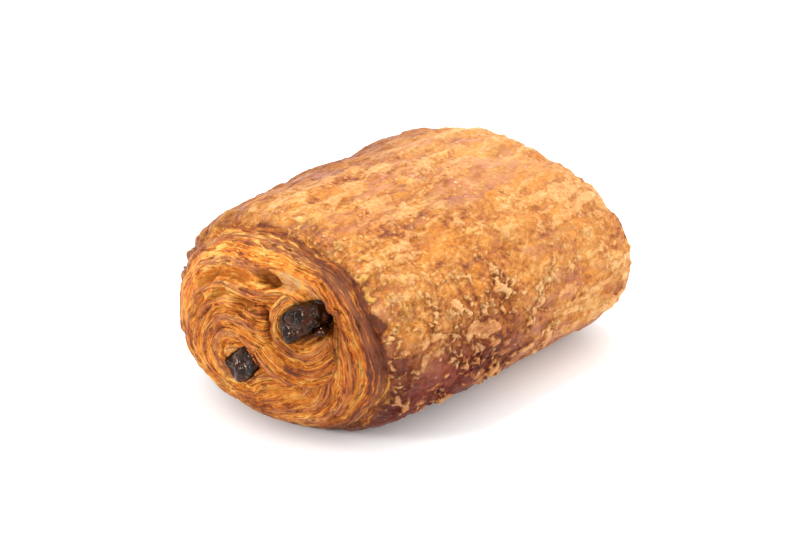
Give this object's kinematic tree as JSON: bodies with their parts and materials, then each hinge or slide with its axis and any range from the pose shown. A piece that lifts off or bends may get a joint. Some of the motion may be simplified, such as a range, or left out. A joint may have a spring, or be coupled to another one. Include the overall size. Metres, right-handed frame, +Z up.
{
  "type": "pain au chocolat",
  "caption": "Oval roll of laminated dough with an open spiral at its end and dark chocolate batons running through it.",
  "frame": {"origin": "bottom centre of the pastry's box, on the surface that it rests on", "axes": "+X along the roll, away from the end whose spiral shows; +Y across the roll; +Z up"},
  "size_m": [0.0914, 0.0726, 0.0438],
  "materials": {
    "crust": "satin",
    "chocolate": "satin"
  },
  "bodies": {
    "root": {"dough": "crust", "baton_upper": "chocolate", "baton_lower": "chocolate"}
  },
  "joints": []
}
